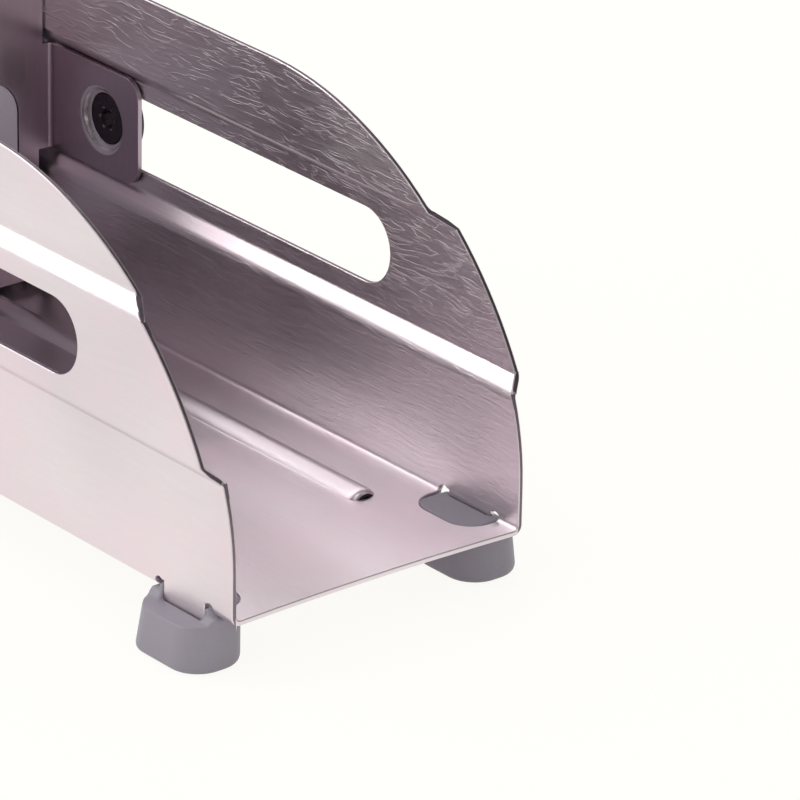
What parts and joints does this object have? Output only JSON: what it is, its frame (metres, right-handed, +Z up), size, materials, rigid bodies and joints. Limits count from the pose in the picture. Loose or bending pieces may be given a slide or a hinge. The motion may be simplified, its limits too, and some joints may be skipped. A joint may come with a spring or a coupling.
{
  "type": "potato chipper",
  "caption": "Lever-operated potato chipper: bent steel channel open at the rear, sliding push block, blade grid, U-shaped lever with links, push-on plastic feet.",
  "frame": {"origin": "middle of the bounding box at the level of the soles of the feet", "axes": "+X along the channel towards its open rear end, +Y towards the left wall, +Z up"},
  "size_m": [0.262, 0.113, 0.2318],
  "materials": {
    "steel_sheet": "satin brushed stainless sheet",
    "blade_steel": "ground stainless strip",
    "bar_steel": "brushed stainless bar",
    "grey_plastic": "moulded satin grey",
    "grip_plastic": "moulded satin grey",
    "bush_plastic": "dark nylon",
    "bolt_steel": "turned stainless"
  },
  "bodies": {
    "chassis": {"body_shell": "steel_sheet", "foot_rear_left": "grey_plastic", "foot_rear_right": "grey_plastic", "foot_front_left": "grey_plastic", "foot_front_right": "grey_plastic", "blade_frame": "steel_sheet", "vertical_blades": "blade_steel", "horizontal_blades": "blade_steel", "blade_screws": "bolt_steel", "pivot_bolts": "bolt_steel", "pivot_washers": "bolt_steel", "pivot_spacers": "bolt_steel", "pivot_nuts": "bolt_steel"},
    "carriage": {"pusher_carrier": "steel_sheet", "push_block": "grey_plastic", "block_screws": "bolt_steel", "slide_bolts": "bolt_steel", "slide_bushes": "bush_plastic", "slide_washers": "bolt_steel", "slide_nuts": "bolt_steel"},
    "lever": {"lever_arm_left": "bar_steel", "lever_arm_right": "bar_steel", "crank_pins": "bolt_steel", "crank_caps": "bolt_steel", "grip_rod": "bolt_steel", "grip_sleeve": "grip_plastic", "rod_nuts": "bolt_steel"},
    "left_link": {"link_left": "bar_steel"},
    "right_link": {"link_right": "bar_steel"}
  },
  "joints": [
    {"name": "lever_hinge", "type": "hinge", "parent": "chassis", "child": "lever", "pos_m": [-0.055, 0, 0.0228], "axis": [0, 1, 0], "range_deg": [0, 37]},
    {"name": "carriage_slide", "type": "slide", "parent": "chassis", "child": "carriage", "axis": [1, 0, 0], "range_m": [0, 0.086]},
    {"name": "left_link_hinge", "type": "hinge", "parent": "carriage", "child": "left_link", "pos_m": [-0.0232, 0.045, 0.0614], "axis": [0, -1, 0], "range_deg": [0, 33.1]},
    {"name": "right_link_hinge", "type": "hinge", "parent": "carriage", "child": "right_link", "pos_m": [-0.0232, -0.045, 0.0614], "axis": [0, -1, 0], "range_deg": [0, 33.1]}
  ],
  "couplings": [
    {"joint": "carriage_slide", "follows": "lever_hinge", "m_per_rad": 0.1331},
    {"joint": "left_link_hinge", "follows": "lever_hinge", "ratio": 0.8937},
    {"joint": "right_link_hinge", "follows": "lever_hinge", "ratio": 0.8937}
  ]
}
